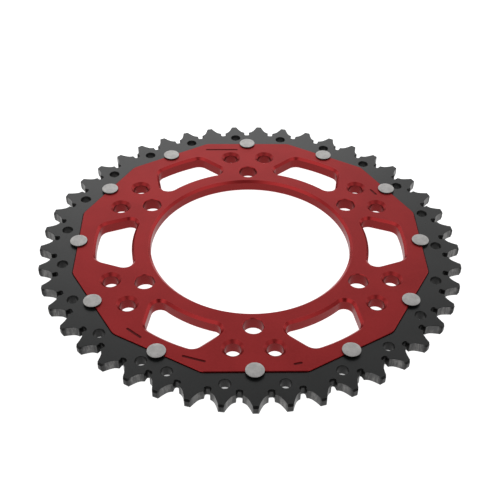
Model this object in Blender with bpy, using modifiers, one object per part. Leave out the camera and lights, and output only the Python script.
"""Rear sprocket of a motorcycle: a 45-tooth steel chain ring riveted to an aluminium carrier.

Frame: +Z is the bore axis and points out of the face that shows the rivet heads,
the origin is the centre of the bore on the plane halfway through the ring and the
carrier, which is the chain line, and +Y passes through rivet_01 and one of the six
bolt holes. Units are metres.
"""

import math

import bmesh
import bpy
from mathutils import Matrix, Vector

MM = 0.001

# chain and teeth
TEETH = 45
PITCH = 15.875  # chain pitch
PITCH_RADIUS = PITCH / 2 / math.sin(math.pi / TEETH)
SEAT_RADIUS = 5.15  # where the chain roller sits
SEAT_SWEEP = 55.0  # degrees of the seat on each side of the root
TIP_RADIUS = 115.8
TIP_HALF_WIDTH = 1.25
SLOT_HALF_WIDTH = 1.45  # mud slot at each root
SLOT_DEPTH = 2.6
TIP_CHAMFER = 0.6

# toothed ring
RING_THICKNESS = 5.75
RING_FRONT = RING_THICKNESS / 2
RING_BACK = -RING_FRONT
LEDGE_TOP = -0.15  # the ledge under the carrier's flange
LEDGE_RADIUS = 89.2
RING_HOLE_RADIUS = 2.8
RING_HOLE_CIRCLE = 102.8
# tooth numbers, clockwise from the one after +Y, that have a hole at their foot
RING_HOLE_TEETH = list(range(1, 26, 2)) + list(range(26, 45, 2))

# carrier
CARRIER_THICKNESS = 7.1
CARRIER_FRONT = CARRIER_THICKNESS / 2
CARRIER_BACK = -CARRIER_FRONT  # the face that sits on the wheel hub
FLANGE_BACK = 0.15
HUB_RADIUS = 88.9
SIDES = 12
FLANGE_APOTHEM = 94.9
FLANGE_CORNER = 6.0
FIT = 0.3  # clearance of the flange in its pocket
BORE_RADIUS = 55.2
BORE_CHAMFER_FRONT = 1.4
BORE_CHAMFER_BACK = 0.9
BOLTS = 6
BOLT_CIRCLE = 65.0
BOLT_HOLE_RADIUS = 5.3
SMALL_HOLE_CIRCLE = 80.5
SMALL_HOLE_ANGLE = 7.38  # degrees to each side of a bolt hole
SMALL_HOLE_RADIUS = 4.2
SINK_DEPTH = 1.4
SINK_RADIUS = 5.8
WINDOW_INNER = 64.7
WINDOW_OUTER = 85.0
WINDOW_INNER_ANGLE = 21.1
WINDOW_OUTER_ANGLE = 10.0
WINDOW_INNER_CORNER = 4.6
WINDOW_OUTER_CORNER = 6.0
WINDOW_CHAMFER = 1.4

# rivets
RIVETS = 12
RIVET_CIRCLE = 94.6
SHANK_RADIUS = 2.8
SHANK_FIT = 0.3
HEAD_RADIUS = 4.72
HEAD_BACK = CARRIER_FRONT + 0.28
HEAD_FRONT = CARRIER_FRONT + 0.85
HEAD_EDGE = 0.2
TAIL_RADIUS = 4.5
TAIL_FRONT = RING_BACK - 0.28
TAIL_BACK = -HEAD_FRONT


def clear_scene():
    for obj in list(bpy.data.objects):
        bpy.data.objects.remove(obj, do_unlink=True)
    for mesh in list(bpy.data.meshes):
        bpy.data.meshes.remove(mesh)


def new_collection(name):
    collection = bpy.data.collections.new(name)
    bpy.context.scene.collection.children.link(collection)
    return collection


def new_material(name, colour, metallic, roughness):
    material = bpy.data.materials.new(name)
    material.use_nodes = True
    shader = material.node_tree.nodes["Principled BSDF"]
    shader.inputs["Base Color"].default_value = (*colour, 1.0)
    shader.inputs["Metallic"].default_value = metallic
    shader.inputs["Roughness"].default_value = roughness
    material.diffuse_color = (*colour, 1.0)
    return material


def polar(radius, degrees):
    angle = math.radians(degrees)
    return Vector((radius * math.cos(angle), radius * math.sin(angle)))


def turned_round(points, degrees):
    rotation = Matrix.Rotation(math.radians(degrees), 2)
    return [rotation @ point for point in points]


def circle(radius, centre, count):
    return [centre + polar(radius, 360.0 * (i + 0.5) / count) for i in range(count)]


def round_corner(before, corner, after, radius, count):
    """Points of the arc that replaces a corner between two directions."""
    u = (before - corner).normalized()
    v = (after - corner).normalized()
    half = u.angle(v) / 2
    centre = corner + (u + v).normalized() * (radius / math.sin(half))
    start = corner + u * (radius / math.tan(half)) - centre
    end = corner + v * (radius / math.tan(half)) - centre
    sweep = start.angle_signed(end)
    return [
        centre + Matrix.Rotation(-sweep * i / (count - 1), 2) @ start
        for i in range(count)
    ]


def gap_half():
    """Half of the outline between two teeth, from the root on +X to the tip of the next tooth."""
    slot_bottom = PITCH_RADIUS - SEAT_RADIUS - SLOT_DEPTH
    first = math.asin(SLOT_HALF_WIDTH / SEAT_RADIUS)
    last = math.radians(SEAT_SWEEP)
    points = [
        Vector((slot_bottom, SLOT_HALF_WIDTH - 0.5)),
        Vector((slot_bottom + 0.5, SLOT_HALF_WIDTH)),
    ]
    for i in range(4):
        angle = first + (last - first) * i / 3
        points.append(
            Vector(
                (
                    PITCH_RADIUS - SEAT_RADIUS * math.cos(angle),
                    SEAT_RADIUS * math.sin(angle),
                )
            )
        )
    foot = points[-1]
    tip = Matrix.Rotation(math.pi / TEETH, 2) @ Vector((TIP_RADIUS, -TIP_HALF_WIDTH))
    along = Vector((math.sin(last), math.cos(last)))
    middle = foot + along * ((tip - foot).length * 0.45)
    for i in (1, 2, 3):
        t = i / 3
        points.append(
            foot * (1 - t) ** 2 + middle * (2 * t * (1 - t)) + tip * t * t
        )
    return points


def tooth_outline():
    half = gap_half()
    gap = [Vector((p.x, -p.y)) for p in reversed(half)] + half
    outline = []
    for i in range(TEETH):
        outline += turned_round(gap, 90 + 360.0 * i / TEETH)
    return outline


def window_outline(inset=0.0):
    """One lightening window, centred on +X: two arcs about the bore, two slanted sides."""
    corners = [
        polar(WINDOW_INNER, -WINDOW_INNER_ANGLE),
        polar(WINDOW_OUTER, -WINDOW_OUTER_ANGLE),
        polar(WINDOW_OUTER, WINDOW_OUTER_ANGLE),
        polar(WINDOW_INNER, WINDOW_INNER_ANGLE),
    ]
    tangent = [
        Vector((math.sin(math.radians(WINDOW_INNER_ANGLE)), math.cos(math.radians(WINDOW_INNER_ANGLE)))),
        Vector((math.sin(math.radians(WINDOW_OUTER_ANGLE)), math.cos(math.radians(WINDOW_OUTER_ANGLE)))),
    ]
    low_inner = round_corner(
        corners[0] + tangent[0], corners[0], corners[1], WINDOW_INNER_CORNER, 5
    )
    low_outer = round_corner(
        corners[0], corners[1], corners[1] + tangent[1], WINDOW_OUTER_CORNER, 5
    )

    def arc(radius, start, end, count):
        return [polar(radius, start + (end - start) * i / count) for i in range(1, count)]

    start = math.degrees(math.atan2(low_outer[-1].y, low_outer[-1].x))
    outer = arc(low_outer[-1].length, start, -start, 4)
    start = math.degrees(math.atan2(low_inner[0].y, low_inner[0].x))
    inner = arc(low_inner[0].length, -start, start, 8)
    high_outer = [Vector((p.x, -p.y)) for p in reversed(low_outer)]
    high_inner = [Vector((p.x, -p.y)) for p in reversed(low_inner)]
    points = low_inner + low_outer + outer + high_outer + high_inner + inner
    if not inset:
        return points
    moved = []
    for i, point in enumerate(points):
        before, after = points[i - 1], points[(i + 1) % len(points)]
        n1 = Vector((before.y - point.y, point.x - before.x)).normalized()
        n2 = Vector((point.y - after.y, after.x - point.x)).normalized()
        normal = (n1 + n2).normalized()
        moved.append(point + normal * (inset / normal.dot(n1)))
    return moved


def polygon(apothem, corner):
    """Regular outline of SIDES sides with one side across +Y and rounded corners."""
    reach = apothem / math.cos(math.pi / SIDES)
    step = 360.0 / SIDES
    tips = [polar(reach, 90 + step * (i + 0.5)) for i in range(SIDES)]
    if not corner:
        return tips
    points = []
    for i, tip in enumerate(tips):
        points += round_corner(tips[i - 1], tip, tips[(i + 1) % SIDES], corner, 4)
    return points


def plate(name, outlines, bottom, top, collection, flare=0.0):
    """A flat piece between two heights. The outlines after the first are holes.

    With a flare, the sides open out by that much over the lowest flare of height.
    """
    curve = bpy.data.curves.new(name + "_outline", "CURVE")
    curve.dimensions = "2D"
    curve.fill_mode = "BOTH"
    curve.extrude = ((top - bottom) / 2 - flare) * MM
    curve.bevel_depth = flare * MM
    curve.bevel_resolution = 0
    for outline in outlines:
        spline = curve.splines.new("POLY")
        spline.points.add(len(outline) - 1)
        for point, place in zip(spline.points, outline):
            point.co = (place.x * MM, place.y * MM, 0, 1)
        spline.use_cyclic_u = True
    flat = bpy.data.objects.new(name + "_outline", curve)
    collection.objects.link(flat)
    flat.location.z = (top + bottom) / 2 * MM
    bpy.context.view_layer.update()
    graph = bpy.context.evaluated_depsgraph_get()
    mesh = bpy.data.meshes.new_from_object(flat.evaluated_get(graph))
    mesh.name = name
    build = bmesh.new()
    build.from_mesh(mesh)
    bmesh.ops.remove_doubles(build, verts=build.verts, dist=0.000001)
    bmesh.ops.recalc_face_normals(build, faces=build.faces)
    build.to_mesh(mesh)
    build.free()
    solid = bpy.data.objects.new(name, mesh)
    solid.matrix_world = flat.matrix_world
    collection.objects.link(solid)
    bpy.data.objects.remove(flat, do_unlink=True)
    return solid


def turned(name, profile, steps, collection, mesh=None):
    """A turned solid. The profile runs from the top to the bottom, as radius and height."""
    if mesh is None:
        build = bmesh.new()
        points = [build.verts.new((r * MM, 0, z * MM)) for r, z in profile]
        for a, b in zip(points, points[1:]):
            build.edges.new((a, b))
        mesh = bpy.data.meshes.new(name)
        build.to_mesh(mesh)
        build.free()
    solid = bpy.data.objects.new(name, mesh)
    collection.objects.link(solid)
    screw = solid.modifiers.new("turn", "SCREW")
    screw.axis = "Z"
    screw.angle = math.tau
    screw.steps = screw.render_steps = steps
    screw.use_merge_vertices = True
    screw.merge_threshold = 0.00001
    screw.use_normal_calculate = False
    return solid


def as_cutter(obj):
    obj.hide_render = True
    obj.display_type = "WIRE"
    return obj


def cut(target, cutter, operation="DIFFERENCE"):
    boolean = target.modifiers.new(cutter.name, "BOOLEAN")
    boolean.operation = operation
    boolean.solver = "EXACT"
    boolean.object = cutter


def cut_all(target, cutters, name):
    boolean = target.modifiers.new(name, "BOOLEAN")
    boolean.operation = "DIFFERENCE"
    boolean.solver = "EXACT"
    boolean.operand_type = "COLLECTION"
    boolean.collection = cutters


def smooth(mesh, degrees):
    mesh.shade_smooth()
    mesh.set_sharp_from_angle(angle=math.radians(degrees))


def cutter_collection(name):
    collection = bpy.data.collections.new(name)
    helpers.children.link(collection)
    collection.hide_render = True
    return collection


clear_scene()
parts = new_collection("rear_sprocket")
helpers = new_collection("cutters")
helpers.hide_render = True

anodised = new_material("red_anodised_aluminium", (0.27, 0.036, 0.036), 0.75, 0.42)
coated = new_material("black_coated_steel", (0.035, 0.036, 0.038), 0.7, 0.5)
zinc = new_material("rivet_steel", (0.52, 0.5, 0.5), 0.85, 0.38)

root = bpy.data.objects.new("sprocket_origin", None)
root.empty_display_size = 0.02
parts.objects.link(root)

# ------------------------------------------------------------------ toothed ring
hole_outlines = []
for tooth in RING_HOLE_TEETH:
    place = polar(RING_HOLE_CIRCLE, 90 - 360.0 / TEETH * (tooth + 0.5))
    hole_outlines.append(circle(RING_HOLE_RADIUS, place, 12))
ring = plate(
    "toothed_ring",
    [tooth_outline(), circle(LEDGE_RADIUS, Vector((0, 0)), 72)] + hole_outlines,
    RING_BACK,
    RING_FRONT,
    parts,
)
ring.data.materials.append(coated)

pocket = as_cutter(
    plate(
        "pocket_cutter",
        [polygon(FLANGE_APOTHEM + FIT, FLANGE_CORNER + FIT)],
        LEDGE_TOP,
        RING_FRONT + 2,
        helpers,
    )
)
cut(ring, pocket)

# the blank that the teeth are cut from has both rims chamfered
outside = TIP_RADIUS + 1.0
blank = as_cutter(
    turned(
        "blank_envelope",
        [
            (0, RING_FRONT + 1.0),
            (TIP_RADIUS - 2 * TIP_CHAMFER - 1.0, RING_FRONT + 1.0),
            (outside, RING_FRONT - TIP_CHAMFER - 0.1),
            (outside, RING_BACK + TIP_CHAMFER + 0.1),
            (TIP_RADIUS - 2 * TIP_CHAMFER - 1.0, RING_BACK - 1.0),
            (0, RING_BACK - 1.0),
        ],
        90,
        helpers,
    )
)
cut(ring, blank, "INTERSECT")

# ----------------------------------------------------------------------- carrier
carrier = plate(
    "carrier",
    [polygon(FLANGE_APOTHEM, FLANGE_CORNER)],
    CARRIER_BACK,
    CARRIER_FRONT,
    parts,
)
carrier.data.materials.append(anodised)

skirt = as_cutter(
    plate(
        "skirt_cutter",
        [
            circle(FLANGE_APOTHEM + 12, Vector((0, 0)), 36),
            circle(HUB_RADIUS, Vector((0, 0)), 72),
        ],
        CARRIER_BACK - 2,
        FLANGE_BACK,
        helpers,
    )
)
cut(carrier, skirt)

bore = as_cutter(
    turned(
        "bore_cutter",
        [
            (0, CARRIER_FRONT + 1),
            (BORE_RADIUS + BORE_CHAMFER_FRONT + 1, CARRIER_FRONT + 1),
            (BORE_RADIUS, CARRIER_FRONT - BORE_CHAMFER_FRONT),
            (BORE_RADIUS, CARRIER_BACK + BORE_CHAMFER_BACK),
            (BORE_RADIUS + BORE_CHAMFER_BACK + 1, CARRIER_BACK - 1),
            (0, CARRIER_BACK - 1),
        ],
        96,
        helpers,
    )
)
cut(carrier, bore)

windows = cutter_collection("window_cutters")
flares = cutter_collection("window_flare_cutters")
holes = cutter_collection("hole_cutters")

bpy.ops.mesh.primitive_cylinder_add(
    vertices=24,
    radius=BOLT_HOLE_RADIUS * MM,
    depth=(CARRIER_THICKNESS + 4) * MM,
    location=(0, 0, 0),
)
bolt_cutter = bpy.context.object
bolt_mesh = bolt_cutter.data
bolt_mesh.name = "bolt_hole_cutter"
bpy.data.objects.remove(bolt_cutter, do_unlink=True)

sink_profile = [
    (0, CARRIER_FRONT + 1),
    (SINK_RADIUS + (SINK_RADIUS - SMALL_HOLE_RADIUS) / SINK_DEPTH, CARRIER_FRONT + 1),
    (SMALL_HOLE_RADIUS, CARRIER_FRONT - SINK_DEPTH),
    (SMALL_HOLE_RADIUS, CARRIER_BACK - 1),
    (0, CARRIER_BACK - 1),
]
sink_mesh = None
for i in range(BOLTS):
    angle = 90 - 360.0 / BOLTS * i
    hole = bpy.data.objects.new("bolt_hole_cutter_%d" % (i + 1), bolt_mesh)
    holes.objects.link(as_cutter(hole))
    place = polar(BOLT_CIRCLE, angle)
    hole.location = (place.x * MM, place.y * MM, 0)

    for side in (-1, 1):
        sink = turned(
            "small_hole_cutter_%d%s" % (i + 1, "a" if side < 0 else "b"),
            sink_profile,
            20,
            holes,
            sink_mesh,
        )
        sink_mesh = sink.data
        place = polar(SMALL_HOLE_CIRCLE, angle + side * SMALL_HOLE_ANGLE)
        sink.location = (place.x * MM, place.y * MM, 0)
        as_cutter(sink)

    angle -= 180.0 / BOLTS
    outline = turned_round(window_outline(), angle)
    as_cutter(plate("window_cutter_%d" % (i + 1), [outline], CARRIER_BACK - 2, CARRIER_FRONT + 2, windows))
    inset = 0.2
    outline = turned_round(window_outline(inset), angle)
    flare = WINDOW_CHAMFER + inset
    as_cutter(
        plate(
            "window_flare_%d" % (i + 1),
            [outline],
            CARRIER_FRONT - flare,
            CARRIER_FRONT + flare + 1.2,
            flares,
            flare,
        )
    )

cut_all(carrier, holes, "holes")
cut_all(carrier, windows, "windows")
cut_all(carrier, flares, "window chamfers")

# ------------------------------------------------------------------------ rivets
shanks = cutter_collection("rivet_hole_cutters")
bpy.ops.mesh.primitive_cylinder_add(
    vertices=16,
    radius=(SHANK_RADIUS + SHANK_FIT) * MM,
    depth=(CARRIER_THICKNESS + 6) * MM,
    location=(0, 0, 0),
)
shank_cutter = bpy.context.object
shank_mesh = shank_cutter.data
shank_mesh.name = "rivet_hole_cutter"
bpy.data.objects.remove(shank_cutter, do_unlink=True)

rivet_profile = [
    (0, HEAD_FRONT),
    (HEAD_RADIUS - HEAD_EDGE, HEAD_FRONT),
    (HEAD_RADIUS, HEAD_FRONT - HEAD_EDGE),
    (HEAD_RADIUS, HEAD_BACK),
    (SHANK_RADIUS, HEAD_BACK),
    (SHANK_RADIUS, TAIL_FRONT),
    (TAIL_RADIUS, TAIL_FRONT),
    (TAIL_RADIUS - HEAD_EDGE, TAIL_BACK),
    (0, TAIL_BACK),
]
rivet_mesh = None
for i in range(RIVETS):
    place = polar(RIVET_CIRCLE, 90 - 360.0 / RIVETS * i)
    hole = bpy.data.objects.new("rivet_hole_cutter_%02d" % (i + 1), shank_mesh)
    shanks.objects.link(as_cutter(hole))
    hole.location = (place.x * MM, place.y * MM, 0)

    rivet = turned("rivet_%02d" % (i + 1), rivet_profile, 20, parts, rivet_mesh)
    if rivet_mesh is None:
        rivet_mesh = rivet.data
        rivet_mesh.name = "rivet"
        rivet_mesh.materials.append(zinc)
    rivet.location = (place.x * MM, place.y * MM, 0)
    rivet.modifiers["turn"].use_smooth_shade = True
    rivet.parent = root

cut_all(carrier, shanks, "rivet holes")
cut_all(ring, shanks, "rivet holes")

for solid in (ring, carrier):
    smooth(solid.data, 30)
    solid.parent = root
bpy.context.view_layer.update()
